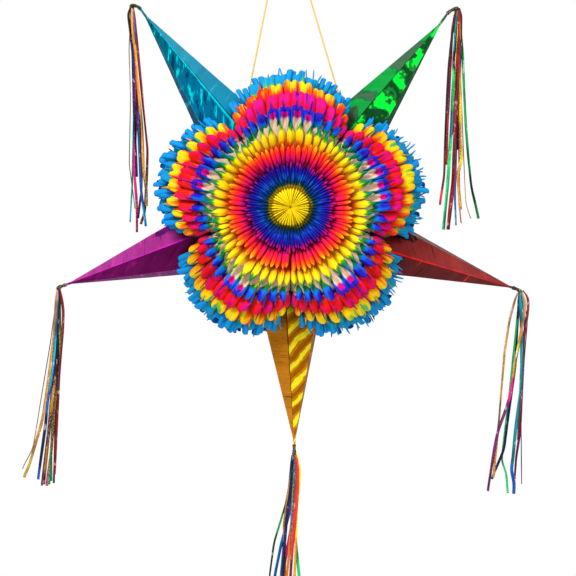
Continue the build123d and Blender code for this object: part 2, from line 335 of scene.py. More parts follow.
TEAL_WIDE = film(
    (0, 140, 178), (44, 140, 168), (70, 175, 200), (0, 96, 130), size=1.6, stretch=(0.4, 2.6), angle=-12,
    edges=(0.62, 0.76), amount=0.5, ridge=(0, 60, 84), ridge_from=0.0,
)
TEAL_HOLO = film(
    (0, 116, 170), (0, 96, 120), (0, 225, 232), (0, 46, 74), size=3.4, stretch=(2.4, 0.42), angle=36,
    edges=(0.56, 0.64), amount=0.9, ridge=(0, 235, 245),
)
TEAL_THIN = film((12, 84, 116), (24, 104, 136), (0, 180, 210), size=2.0, ridge=(0, 200, 225), shiny=False)
GREEN_WIDE = film(
    (20, 100, 52), (30, 116, 60), (16, 168, 66), (70, 100, 76), size=2.0, stretch=(0.3, 2.6), angle=-34,
    edges=(0.56, 0.72), amount=0.75, foot=(8, 44, 24), bands=(0.9, 2.2),
)
GREEN_BRIGHT = film(
    (14, 96, 40), (20, 120, 40), (0, 240, 56), (4, 44, 22), size=2.6, stretch=(0.8, 1.5), angle=22,
    edges=(0.62, 0.74), amount=0.95, ridge=(6, 40, 20), ridge_from=0.0, bands=(1.25, 2.6),
)
GREEN_THIN = film((24, 84, 46), (30, 96, 56), (50, 130, 76), size=1.6, shiny=False)
MAGENTA_UPPER = film(
    (158, 34, 128), (170, 56, 142), (246, 60, 130), (74, 10, 96), size=2.6, stretch=(0.4, 3.0), angle=14,
    edges=(0.60, 0.74), amount=0.7, blots=0.9, ridge=(240, 20, 210), ridge_from=0.0,
)
MAGENTA_LOWER = film(
    (90, 6, 66), (104, 14, 84), (176, 30, 150), (56, 2, 48), size=2.6, stretch=(0.4, 2.6), angle=52,
    edges=(0.60, 0.74), amount=0.6,
)
MAGENTA_THIN = film((120, 50, 110), (130, 60, 120), (170, 80, 150), size=2.0, shiny=False)
RED_UPPER = film(
    (124, 30, 32), (140, 52, 50), (206, 44, 42), (30, 26, 20), size=2.4, stretch=(0.3, 3.0), angle=-32,
    edges=(0.60, 0.76), amount=0.7, blots=0.95, ridge=(236, 24, 30),
)
RED_LOWER = film(
    (86, 26, 30), (100, 38, 38), (206, 46, 46), (66, 16, 20), size=2.0, stretch=(0.2, 3.4), angle=24,
    edges=(0.66, 0.74), amount=0.7,
)
RED_THIN = film((70, 18, 20), (84, 26, 26), (130, 36, 36), size=2.0, shiny=False)
GOLD_LEFT = film(
    (216, 134, 18), (204, 128, 34), (250, 160, 26), (116, 62, 4), size=2.4, stretch=(0.3, 3.6), angle=3,
    edges=(0.58, 0.72), amount=0.6, ridge=(70, 38, 4), ridge_from=0.0,
)
GOLD_STRIPED = film(
    (212, 132, 6), (206, 130, 10), (255, 240, 36), (150, 84, 4), size=2.0, stretch=(0.35, 3.2), angle=-46,
    edges=(0.70, 0.82), amount=0.95, foot=(50, 28, 6), bands=(2.6, 0.9), sheen_bands=0.15,
)
GOLD_THIN = film((160, 96, 24), (160, 100, 30), (210, 140, 50), size=2.0, shiny=False)


def halves(right, thin, left):
    """Six films: three faces to the right of the front fold, then three to its left."""
    return [right, thin, right, left, thin, left]


FACES = {
    "upper_left": ("foil_teal", halves(TEAL_WIDE, TEAL_THIN, TEAL_HOLO)),
    "upper_right": ("foil_green", [GREEN_BRIGHT, GREEN_THIN, GREEN_WIDE] * 2),
    "lower_left": ("foil_magenta", halves(MAGENTA_UPPER, MAGENTA_THIN, MAGENTA_LOWER)),
    "lower_right": ("foil_red", halves(RED_LOWER, RED_THIN, RED_UPPER)),
    "bottom": ("foil_gold", halves(GOLD_LEFT, GOLD_THIN, GOLD_STRIPED)),
}


def board_material():
    g = Graph("kraft_board", Roughness=0.85, Specular_IOR_Level=0.2)
    fibres = g.noise(260.0, 6.0, stretch=(1, 1, 4), roughness=0.7)
    ripple = {"Vector": g.position(), "Scale": 55.0}
    flutes = g.node("ShaderNodeTexWave", ripple, bands_direction="X").outputs["Fac"]
    colour = g.ramp(fibres, [(0.3, (150, 112, 74)), (0.55, (186, 146, 102)), (0.75, (206, 170, 126))])
    colour = g.mix(g.times(flutes, 0.10), colour, (120, 86, 54), "MULTIPLY")
    g.bump(g.add_share(flutes, 0.6, fibres), 0.2, 0.0006)
    return g.finish(colour)


def card_material():
    """Dyed end cards of the seams, coloured by their distance from the flower's centre and darkened all over:
    painted shade, as they lie in the seams under the tissue.
    """
    g = Graph("seam_card", Roughness=0.7, Specular_IOR_Level=0.25)
    from_centre = {0: g.position(), 1: (CENTRE.x, 0.0, CENTRE.z)}
    offset = g.node("ShaderNodeVectorMath", from_centre, operation="SUBTRACT").outputs[0]
    flattened = {0: offset, 1: (1.0, 0.0, 1.0)}
    offset = g.node("ShaderNodeVectorMath", flattened, operation="MULTIPLY").outputs[0]
    radius = g.node("ShaderNodeVectorMath", {0: offset}, operation="LENGTH").outputs["Value"]
    band = g.math("DIVIDE", radius, BAND_END * MM)
    band = g.add_share(g.centred(g.noise(90.0, 3.0)), 0.05, band)
    dye = g.ramp(band, [(r / BAND_END, rgb) for r, rgb in DYES])
    # painted shade: the whole dye is darkened
    colour = g.mix(1.0, dye, (120, 110, 130), "MULTIPLY")
    g.bump(g.noise(500.0, 3.0), 0.15, 0.0005)
    return g.finish(colour)


def string_material():
    g = Graph("yellow_string", Roughness=0.7, Sheen_Weight=0.2, Specular_IOR_Level=0.3)
    turned = g.node("ShaderNodeMapping", {"Vector": g.position(), "Rotation": (0.0, 0.7, 0.0)}).outputs[0]
    plies = g.node("ShaderNodeTexWave", {"Vector": turned, "Scale": 260.0, "Distortion": 0.6}).outputs["Fac"]
    fluff = g.noise(1500.0, 3.0)
    # painted shade and highlight: the plies are darker in their grooves and paler on their crowns, following
    # the plies' bump
    colour = g.ramp(plies, [(0.1, (226, 160, 40)), (0.6, (255, 206, 84)), (0.95, (255, 226, 130))])
    colour = g.mix(0.2, colour, g.ramp(fluff, [(0.3, (180, 150, 90)), (0.7, (255, 255, 255))]), "MULTIPLY")
    g.bump(plies, 0.5, 0.0006)
    return g.finish(colour)


def streamer_material():
    """Thin metallised strips: each strip's own dye and glitter on some, with painted glints on the glitter,
    painted highlights that come and go and painted dark reflections in patches.
    """
    g = Graph("streamer_film", Metallic=0.55, Specular_IOR_Level=0.6)
    dye = g.node("ShaderNodeAttribute", attribute_name="dye").outputs["Color"]
    glitter = g.attribute("glitter")
    cells = g.node("ShaderNodeTexVoronoi", {"Vector": g.position(), "Scale": 1100.0})
    spark = g.node("ShaderNodeSeparateColor", {"Color": cells.outputs["Color"]}).outputs[0]
    # painted glints: the glitter's bright cells, with the rest of its cells a darkened dye
    dull = g.mix(1.0, dye, (110, 100, 100), "MULTIPLY")
    sparkle = g.mix(g.span(spark, 0.55, 0.9), dull, (255, 226, 150))
    colour = g.mix(g.times(glitter, 0.75), dye, g.mix(0.45, dye, sparkle))
    patches = g.noise(24.0, 2.0)
    painted_glint = g.noise(160.0, 2.0, stretch=(1, 1, 0.5))
    # painted highlights: small pale glints screened over the film; painted dark reflections: patches
    # multiplied darker
    colour = g.mix(g.span(painted_glint, 0.62, 0.70, 0.0, 0.35), colour, (255, 240, 245), "SCREEN")
    colour = g.mix(g.span(patches, 0.50, 0.36, 0.0, 0.5), colour, (60, 50, 70), "MULTIPLY")
    return g.finish(colour, g.span(spark, 0.0, 1.0, 0.18, 0.5))


# ---- meshes -----------------------------------------------------------------------------
def show(name, data):
    made = bpy.data.objects.new(name, data)
    bpy.context.scene.collection.objects.link(made)
    return made


class Build:
    """Gathers vertices, faces and per-vertex numbers of one piece, in the flower's millimetres."""

    def __init__(self, *names):
        self.points, self.faces = [], []
        self.values = {name: [] for name in names}
        self.count = 0

    def grid(self, points, closed=False, **values):
        """points has rows x columns x 3; closed joins the last column to the first."""
        rows, columns, _ = points.shape
        start = self.count
        self.points.append(points.reshape(-1, 3))
        for name, stored in self.values.items():
            stored.append(np.broadcast_to(values.get(name, 0.0), (rows, columns)).reshape(-1))
        last = columns if closed else columns - 1
        for i in range(rows - 1):
            for j in range(last):
                k = (j + 1) % columns
                a, b = start + i * columns, start + (i + 1) * columns
                self.faces.append((a + j, a + k, b + k, b + j))
        self.count += rows * columns

    def fan(self, row, **values):
        """A flat cap that closes a ring of points."""
        start = self.count
        ring = np.asarray(row)
        self.points.append(np.vstack([ring, ring.mean(0)]))
        n = len(ring)
        for name, stored in self.values.items():
            stored.append(np.broadcast_to(values.get(name, 0.0), n + 1))
        for j in range(n):
            self.faces.append((start + j, start + (j + 1) % n, start + n))
        self.count += n + 1

    def piece(self, name, *materials, smooth=True):
        mesh = bpy.data.meshes.new(name)
        mesh.from_pydata(place(np.vstack(self.points)).tolist(), [], self.faces)
        for key, stored in self.values.items():
            layer = mesh.attributes.new(key, "FLOAT", "POINT")
            layer.data.foreach_set("value", np.concatenate(stored).astype(np.float32))
        for material in materials:
            mesh.materials.append(material)
        mesh.polygons.foreach_set("use_smooth", [smooth] * len(self.faces))
        mesh.update()
        return show(name, mesh)


def thicken(piece, thickness):
    shell = piece.modifiers.new("sheet", "SOLIDIFY")
    shell.thickness = thickness * MM
    shell.offset = 0.0


# ---- the flower's surface ---------------------------------------------------------------
TISSUE_THICKNESS = 0.35
TISSUE_VALUES = ("band", "across", "along", "tint", "cup", "pale", "inside", "shade")
SEAM_DIP, CROWN = 9.0, 3.0   # how far the tissue sinks at a seam, and falls away towards it
# radius and depth along the middle of a lobe, from the flower's centre to the rim's mid-plane
MERIDIAN = np.array([
    (0, 88), (26, 90), (60, 94), (100, 96), (124, 93), (142, 84), (157, 70), (168, 50), (174, 27), (176, 0)
], float)
ARC = np.concatenate([[0], np.cumsum(np.hypot(*np.diff(MERIDIAN, axis=0).T))])


def radius_at(s):
    return np.interp(s, ARC, MERIDIAN[:, 0])


def depth_at(s):
    return np.interp(s, ARC, MERIDIAN[:, 1])


def smoothstep(x, low, high):
    t = np.clip((x - low) / (high - low), 0, 1)
    return t * t * (3 - 2 * t)


def rim(phi):
    """The flower's outline: its radius at an angle phi, in degrees, from the middle of a lobe."""
    a = np.radians(phi)
    return LOBE_OFFSET * np.cos(a) + np.sqrt(LOBE_RADIUS**2 - (LOBE_OFFSET * np.sin(a)) ** 2)


RIM = LOBE_OFFSET + LOBE_RADIUS


def on_surface(s, phi, raised):
    """A point of a lobe's front: arc length s from the centre, angle phi, and height above the tissue.

    Gives the radius, the depth and the effective radius that decides the dye's colour."""
    rho, depth = radius_at(s), depth_at(s)
    step = 4.0
    ahead = np.minimum(s + step, ARC[-1])
    back = np.maximum(ahead - 2 * step, 0)
    d_rho = radius_at(ahead) - radius_at(back)
    d_depth = depth_at(ahead) - depth_at(back)
    size = np.hypot(d_rho, d_depth)
    follow = smoothstep(rho, 85, 160)
    aside = np.clip(phi, -HALF_LOBE, HALF_LOBE)
    radius = rho * (1 - follow * (1 - rim(aside) / RIM))
    seam = np.exp(-(((HALF_LOBE - np.abs(aside)) / 3.6) ** 2))
    dip = SEAM_DIP * seam * smoothstep(rho, 92, 112)
    dip = dip + CROWN * (aside / HALF_LOBE) ** 2 * smoothstep(rho, 70, 120)
    radius = radius - raised * d_depth / size
    depth = (depth - dip * depth / 90.0) + raised * d_rho / size
    return radius, depth, rho


def flower_points(direction, side, phi, radius, depth):
    """side is 1 for the front and -1 for the back."""
    a = np.radians(direction + phi)
    return np.stack([radius * np.cos(a), -side * depth, radius * np.sin(a)], axis=-1)


# one row of petals: arc length of the tips, petal length, petals in a lobe, width over pitch, arch
# height over width, shape, how far the tips stand proud, and the dye radii of tip, side and foot
# with the side that is dyed differently: 1 away from the lobe's middle line, -1 towards it
ROWS = {
    "pleats": (58, 36, 19, 0.98, 0.85, "blade", 1.5, None),
    "ring_red": (84, 44, 15, 0.98, 0.60, "blade", 3.5, None),
    "ring_yellow": (111, 50, 11, 0.94, 0.42, "lens", 5.0, None),
    "cups": (132, 38, 11, 1.06, 0.60, "cup", 6.5, (129, 117, 103, 1)),
    "ring_magenta": (155, 48, 12, 1.10, 0.26, "pair", 5.5, (138, 148, 155, -1)),
    "ring_orange": (177, 44, 12, 1.10, 0.26, "pair", 6.0, (161, 152, 148, 1)),
    "ring_blue": (198, 44, 12, 1.02, 0.26, "pair", 7.0, (176, 169, 162, -1)),
    "rim_near": (215, 42, 13, 0.80, 0.26, "pair", 2.0, (181, 177, 166, 1)),
    "rim_middle": (234, 40, 13, 0.74, 0.26, "pair", 0.5, (184, 180, 170, -1)),
}
# added to the dye radii of the middle rings, lobe by lobe
DYE_SHIFT = {"top": -1.0, "right": 2.0, "lower_right": 4.0, "lower_left": 3.5, "left": 2.0}
ALONG = np.array([0.0, 0.2, 0.4, 0.54, 0.66, 0.76, 0.85, 0.92, 0.97, 1.0])
ACROSS = np.array([-1.0, -0.93, -0.76, -0.5, -0.24, 0.0, 0.24, 0.5, 0.76, 0.93, 1.0])
MIDDLE = 5        # the column of ACROSS that is a petal's middle line
HALFWAY = 4       # the row of ALONG that is about halfway along a petal
SUNK = 11.0       # a petal's foot lies this far under the surface
SEAM_EDGE = HALF_LOBE - 0.35
OVERLAP = 0.60    # rise across a petal, in half-widths, that lays its edge over its neighbour
# petals nearer than this to a lobe's middle line, in degrees, are open towards the front
FACING = {"top": 25, "right": 23, "lower_right": 12, "lower_left": 9, "left": 9}
FINGER_ALONG = np.array([0.0, 0.25, 0.5, 0.7, 0.84, 0.91, 0.95, 0.98, 1.0])
FINGERS = 28      # tongues that stand out past a lobe's rim, front and back each
SEEN = 0.42       # the share of a petal that the row inside it hides
SPREAD = 0.12     # petals at a lobe's middle line are this much further apart than evenly
RIM_ROWS = 190    # rows with their tips past this arc length stand round the rim
NOTCH = HALF_LOBE - 5    # degrees: past this, rim rows and glued points leave room for a cone
SEAM_LEAN = 45    # degrees that a petal beside a seam leans from its lobe's middle line
HUB = 12.0        # petals narrow no further inside this radius
FINGER_EDGE = 29.5       # degrees between a lobe's middle line and its outermost finger


def spread(count, shift):
    """Angles of a row's petals, closer together towards the seams."""
    t = (np.arange(count + 1) + 0.5 + shift) / count * 2 - 1
    return [HALF_LOBE * ((1 + SPREAD) * x - SPREAD * x**3) for x in t if x <= 1.001]


def petal_width(u, shape):
    """Half-width along a petal, 1 at its widest."""
    if shape == "lens":
        return np.sin(np.pi * (0.06 + 0.92 * u**1.7)) ** 0.75
    if shape == "blade":
        return 0.45 + 0.55 * smoothstep(u, 0.1, 0.7)
    return 0.62 + 0.38 * smoothstep(u, 0.1, 0.75)


def petal_arch(u, v, shape, turned):
    """Height across a petal, 1 on its crest: two crests where it faces us, one where it is turned aside."""
    if shape in ("lens", "blade"):
        return 1 - np.abs(v) ** 1.35
    cup = shape == "cup"
    crest = 0.5 + (0.14 * (1 - smoothstep(u, 0.60, 0.97)) if cup else 0.0)
    inner = np.clip((crest - np.abs(v)) / crest, 0, 1)
    outer = np.clip((np.abs(v) - crest) / (1 - crest), 0, 1)
    valley = (1.35 - 1.15 * smoothstep(u, 0.74, 1.0)) if cup else 0.50
    facing = 1 - valley * inner**1.5 - outer**2.4
    aside = 1 - np.abs(v) ** (1.9 if cup else 2.2)
    return facing * (1 - turned) + aside * turned


def tip_outline(v, shape, turned):
    """How far a petal's end falls short of its tip, in half-widths: round ends, two on a pair."""
    single = 1 - np.sqrt(np.clip(1 - 0.96 * v**2, 0, 1))
    if shape == "lens":
        return 0.9 * single
    if shape == "blade":
        return 1.9 * np.abs(v) ** 1.5
    double = 0.5 * (1 - np.sqrt(np.clip(1 - 0.96 * ((np.abs(v) - 0.5) / 0.5) ** 2, 0, 1)))
    return double * (1 - turned) + 1.15 * np.abs(v) ** 1.8 * turned


def inside_cone(point):
    """True where a petal would stick through one of the cones."""
    at_core, margin = 60, 0.92
    for name, direction in SEAMS.items():
        axis = outward(direction)
        along = float(point @ axis)
        foot, tip = on_line(name, 0), on_line(name, 1)
        first, last = CONE_LINE[name][0][0], CONE_LINE[name][1][0]
        if along < at_core:
            continue
        centre = foot + (tip - foot) * (along - first) / (last - first)
        if np.linalg.norm(point - centre) < NECK_RADIUS + CONE_SLOPE[name] * (last - along) * margin:
            return True
    return False


def near_string(point):
    """True where a petal would lie across a leg of the hanging string."""
    clear_aside, clear_deep = 6.5, 12
    for leg in STRING_LEGS:
        t = (point[2] - leg[0][2]) / (leg[1][2] - leg[0][2])
        x = leg[0][0] + (leg[1][0] - leg[0][0]) * t
        if t > -0.1 and abs(point[0] - x) < clear_aside and abs(point[1]) < clear_deep:
            return True
    return False


def in_flower(node):
    """The middle of a frame node, in the flower's millimetres."""
    return np.array(middle(node) - CENTRE) / MM


STRING_LEGS = [(in_flower(f"stop_knot_{side}"), in_flower("knot_core")) for side in ("left", "right")]


def petal_band(u, outward_v, turned, dyes):
    """The dye radius over a petal, from its tip to its sides and to its foot, which the row inside hides."""
    tip, sides, foot, dyed_side = dyes
    aside = (1 - turned) * outward_v**2 + turned * np.clip((1 + dyed_side * outward_v) / 2, 0, 1) ** 1.3
    band = tip + (sides - tip) * aside
    return foot + (band - foot) * smoothstep(u, SEEN, 0.80)


def petal_light(u, outward_v, turned, shape, height):
    """How much of a petal's colour is lit: less in its foot and folds, at its edges and at its very tip."""
    edge = 0.8 * smoothstep(np.abs(outward_v), 0.90, 1.0) + 0.7 * turned * smoothstep(-outward_v, 0.35, 1.0)
    foot = smoothstep(u, 0.1, 0.4) if shape == "cup" else smoothstep(u, SEEN - 0.10, 0.66)
    light = foot * (0.62 + 0.38 * np.clip(height, 0, 1)) * (1 - 0.8 * np.clip(edge, 0, 1))
    return light * (1 - 0.6 * smoothstep(u, 0.96, 1.0))


def add_petal(build, lobe, side, phi, row, rand, bridge=False):
    """One glued petal, left out where it would meet a cone or a string; bridge lets it cross a seam."""
    tip_s, length, count, width, arch, shape, proud, dyes = row
    direction = LOBES[lobe]
    outer_side = float(np.sign(phi)) or 1.0
    turned = min(1.0, abs(phi) / FACING[lobe]) ** 2
    u = ALONG[:, None]
    v = ACROSS[None, :]
    length = length * rand.uniform(0.94, 1.06)
    ragged = 4.0 if shape == "blade" else 2.0       # how unevenly the tips end
    narrowed = 0.36 if shape == "cup" else 0.14     # how much of its width a petal loses when turned aside
    rho_tip = radius_at(tip_s)
    pitch = 2 * HALF_LOBE / count * (1 + SPREAD - 3 * SPREAD * min(1.0, abs(phi) / HALF_LOBE) ** 2)
    half = math.radians(pitch) / 2 * rho_tip * width * rand.uniform(0.92, 1.06)
    if dyes:
        half = half * (1 - narrowed * turned)
    short = half * tip_outline(v, shape, turned) / length
    s = tip_s + rand.uniform(-ragged, ragged) - length * (1 - u * (1 - short))
    tilt = SEAM_LEAN * (abs(phi) / HALF_LOBE) ** 1.7 * outer_side - phi if dyes else 0.0
    centre_phi = phi - np.degrees((1 - u) * length * math.sin(math.radians(tilt)) / rho_tip)
    centre_phi = centre_phi + rand.uniform(-0.7, 0.7) * u
    local = np.maximum(radius_at(s), HUB)
    half_u = half * petal_width(u, shape)
    if shape in ("lens", "blade"):
        half_u = half_u * (0.35 + 0.65 * local / rho_tip)
    curl = rand.uniform(-0.12, 0.12) * u
    phi_v = centre_phi + np.degrees((v + curl) * half_u / local)
    squeeze = phi_v if bridge else np.clip(phi_v, -SEAM_EDGE, SEAM_EDGE)
    lift = -SUNK * (1 - smoothstep(u, 0.0, 0.8)) + proud * smoothstep(u, 0.5, 1.0) * rand.uniform(0.6, 1.4)
    height = petal_arch(u, v, shape, turned)
    bow = arch * 2 * half * (height - 0.72) * (0.45 + 0.55 * smoothstep(u, 0.2, 0.8))
    bow = bow + rand.uniform(-0.9, 0.9) * v - 0.10 * half * smoothstep(u, 0.86, 1.0)
    bow = bow + OVERLAP * half * (turned if dyes else 0.7) * v * outer_side
    radius, depth, rho = on_surface(s, squeeze, lift + bow)
    points = flower_points(direction, side, squeeze, radius, depth)
    near_tip, halfway = points[-2, MIDDLE], points[HALFWAY, MIDDLE]
    if inside_cone(near_tip) or near_string(near_tip) or near_string(halfway):
        return
    outward_v = v * outer_side
    band = petal_band(u, outward_v, turned, dyes) if dyes else rho
    if shape == "pair" and tip_s < RIM_ROWS:
        band = band + DYE_SHIFT[lobe]
    light = petal_light(u, outward_v, turned if dyes else 0.4, shape, height)
    open_cup = float(shape == "cup" and turned < 0.5)
    pale_foot = float(row is ROWS["ring_magenta"])
    build.grid(
        points, band=band / BAND_END, across=v, along=u, tint=rand.random(), shade=light,
        cup=open_cup, pale=pale_foot,
    )
    glued = 0.95 if shape == "cup" else 0.45   # share of the petals with a glued point
    if dyes and tip_s < RIM_ROWS and rand.random() < glued and abs(phi) < NOTCH:
        beside = turned * outer_side * math.degrees(0.92 * half / rho_tip)
        add_thread(build, direction, side, phi + beside, tip_s, band[-1, MIDDLE], rand)


def add_thread(build, direction, side, phi, tip_s, band, rand):
    """The thin glued point that runs on from a petal's notch over the next row."""
    inside_tip, above, half_foot, half_end = 7, 6.2, 1.5, 0.35
    u = np.linspace(0, 1, 6)[:, None]
    v = np.array([-1.0, 0.0, 1.0])[None, :]
    s = np.minimum(tip_s - inside_tip + rand.uniform(14, 20) * u, ARC[-1])
    wide = (half_foot * (1 - u) ** 1.1 + half_end) * v
    local = radius_at(s)
    phi_v = np.clip(phi + rand.uniform(-0.9, 0.9) * u + np.degrees(wide / local), -SEAM_EDGE, SEAM_EDGE)
    radius, depth, _ = on_surface(s, phi_v, above + 1.5 * u - 0.8 * v**2)
    points = flower_points(direction, side, phi_v, radius, depth)
    if inside_cone(points[-1, 1]) or near_string(points[-1, 1]):
        return
    build.grid(points, band=(band - 1.5) / BAND_END, across=v, along=u, tint=rand.random(), shade=0.45)


def add_finger(build, lobe, side, phi, thin, rand):
    """A narrow tongue of tissue that stands out past the rim."""
    direction = LOBES[lobe]
    u = FINGER_ALONG[:, None]
    v = np.linspace(-1, 1, 5)[None, :]
    base_s = rand.uniform(168, RIM_ROWS)
    radius0, depth0, _ = on_surface(np.array(base_s), np.array(phi), -3.0)
    half = rand.uniform(0.8, 1.3) if thin else rand.uniform(3.0, 4.2)
    reach = rim(phi) + rand.uniform(0.0, 7.0) + (2.0 if thin else 0.0)
    depth1 = depth0 - rand.uniform(6, 20)
    lean = 1.1 * phi / HALF_LOBE + rand.uniform(-1.6, 1.6)
    blunt = 0.30 if thin else 0.09
    round_end = np.sqrt(np.clip(1 - (np.clip(u - 1 + blunt, 0, 1) / (blunt + 0.002)) ** 2, 0, 1))
    radius = radius0 + (reach - radius0) * u
    depth = depth0 + (depth1 - depth0) * u**1.4 + 0.5 * half * (1 - v**2)
    sideways = np.degrees(v * half * round_end / radius) + lean * u**2
    points = flower_points(direction, side, np.clip(phi + sideways, -SEAM_EDGE, SEAM_EDGE), radius, depth)
    if inside_cone(points[-1, 2]) or inside_cone(points[4, 2]) or near_string(points[-1, 2]):
        return
    build.grid(
        points, band=0.90 + 0.07 * u, across=v, along=u, tint=rand.random(),
        shade=smoothstep(u, 0.1, 0.6) * (1 - 0.35 * v**2),
    )


def tissue_lobe(name, side, material):
    """All the glued tissue of one lobe: a pleated pad and the rows of petals that open out of it."""
    rand = random.Random(f"{name}{side}")
    direction = LOBES[name]
    build = Build(*TISSUE_VALUES)
    first = 20.0 if side > 0 else 76.0   # the pad starts under the rosette, or round the back panel's middle
    pleats, pleat_height, pad_under = 10, 3.0, 8.0
    phi = np.linspace(-SEAM_EDGE, SEAM_EDGE, 81)[None, :]
    s = np.linspace(first, ARC[-1], 30)[:, None]
    pleat = pleat_height * np.abs(np.sin(np.radians(phi / HALF_LOBE * 90 * pleats)))
    radius, depth, rho = on_surface(s, phi, pleat - pad_under - 5.0 * smoothstep(s, RIM_ROWS, 235))
    points = flower_points(direction, side, phi, radius, depth)
    build.grid(points, band=rho / BAND_END, inside=1.0, tint=0.5, shade=0.7)
    back_panel = 100    # rows with their tips inside this arc length are left out behind
    for order, row in enumerate(ROWS.values()):
        tip_s, _, count, _, _, shape, _, _ = row
        if side < 0 and tip_s < back_panel:
            continue
        for phi_c in spread(count, 0.5 * (order % 2)):
            at_seam = phi_c > HALF_LOBE - 1.0
            if at_seam and (shape not in ("lens", "blade") or name == "lower_left" or side < 0):
                continue
            if tip_s > RIM_ROWS and abs(phi_c) > NOTCH:
                continue
            add_petal(build, name, side, phi_c, row, rand, bridge=at_seam)
    for phi_f in np.linspace(-FINGER_EDGE, FINGER_EDGE, FINGERS):
        on_the_right = math.cos(math.radians(direction + phi_f)) > 0.35
        thin = rand.random() < (0.55 if on_the_right else 0.2)
        add_finger(build, name, side, phi_f + rand.uniform(-0.8, 0.8), thin, rand)
    word = "front" if side > 0 else "back"
    piece = build.piece(f"tissue_{word}_{name}", material)
    thicken(piece, TISSUE_THICKNESS)
    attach(piece, "star")
    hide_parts(f"{word}_lobe_{name}")


def rosette(material):
    """The yellow pleated button in the middle of the front."""
    pleats = 40
    angle = np.linspace(0, 2 * math.pi, pleats * 4, endpoint=False)[None, :]
    profile = np.array([
        (0.6, 91), (1.8, 93), (4, 95), (10, 96.5), (18, 96), (23, 94), (25.5, 91), (26, 87), (24, 84),
        (20, 80), (20, 58.2),
    ], float)
    slimmer = 0.95
    radius = profile[:, 0][:, None] * slimmer
    height = profile[:, 1][:, None]
    wave = np.abs((angle * pleats / math.pi) % 2 - 1) * 2 - 1
    swell = smoothstep(radius, 1.5, 14)
    drift = np.array([[noise.noise(Vector((math.cos(a) * 2.2, math.sin(a) * 2.2, 3.0))) for a in angle[0]]])
    gash = np.array([[noise.noise(Vector((math.cos(a) * 7.0, math.sin(a) * 7.0, 9.0))) for a in angle[0]]])
    outer = radius * (1 + 0.045 * wave * swell + 0.05 * drift * swell)
    relief = (1.5 * wave + 3.2 * np.minimum(gash + 0.12, 0)) * swell * (height > 82)
    depth = height + relief + 2.0 * drift * swell
    points = np.stack([outer * np.cos(angle), -depth, outer * np.sin(angle)], axis=-1)
    build = Build(*TISSUE_VALUES)
    fringe = 0.5 + 0.5 * np.cos(angle + 0.5)
    green = 24.5 + 4.0 * fringe
    band = np.where(height < 92, green, np.minimum(radius, 18.0 + 6.5 * fringe * (radius > 22)))
    light = smoothstep(wave, -1.1, 0.3) * smoothstep(radius, 0.5, 5.0) * smoothstep(gash, -0.34, -0.08)
    build.grid(points, closed=True, band=band / BAND_END, tint=0.5, shade=light)
    build.fan(points[0], inside=1.0, tint=0.5)
    build.fan(points[-1], band=0.1, inside=1.0, tint=0.5)
    piece = build.piece("rosette_pleats", material)
    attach(piece, "star")
    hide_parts("front_rosette")


def seam_card(name, material):
    """The two thin cards of a seam, front and back, just under the tissue."""
    build = Build()
    hubs = {1: 30.0, -1: 72.0}                   # radius where the card begins, in front and behind
    under, half_card, card_end = 7.5, 0.6, 30.0  # below the tissue, half its thickness, its last depth
    core_radius, core_depth = CORE_APOTHEM + 1, CORE_DEPTH + 0.5   # just clear of the core
    for side, hub in hubs.items():
        s = np.linspace(float(np.interp(hub, MERIDIAN[:, 0], ARC)), ARC[-1], 60)
        radius, depth, _ = on_surface(s, np.full_like(s, HALF_LOBE), -under)
        kept = depth > card_end
        radius, depth = radius[kept], depth[kept]
        inner_radius = np.minimum(radius, core_radius)
        inner_depth = np.where(radius < core_radius, core_depth, np.minimum(depth, core_depth))
        axis, right = outward(SEAMS[name]), clockwise(SEAMS[name]) * half_card
        front = np.array([0.0, -side, 0.0])
        top = axis * radius[:, None] + front * depth[:, None]
        low = axis * inner_radius[:, None] + front * inner_depth[:, None]
        ring = np.stack([top - right, top + right, low + right, low - right], axis=1)
        build.grid(ring, closed=True)
        build.fan(ring[0])
        build.fan(ring[-1])
    piece = build.piece(f"seam_card_{name}", material, smooth=False)
    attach(piece, "star")
    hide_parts(f"seam_cards_{name}")


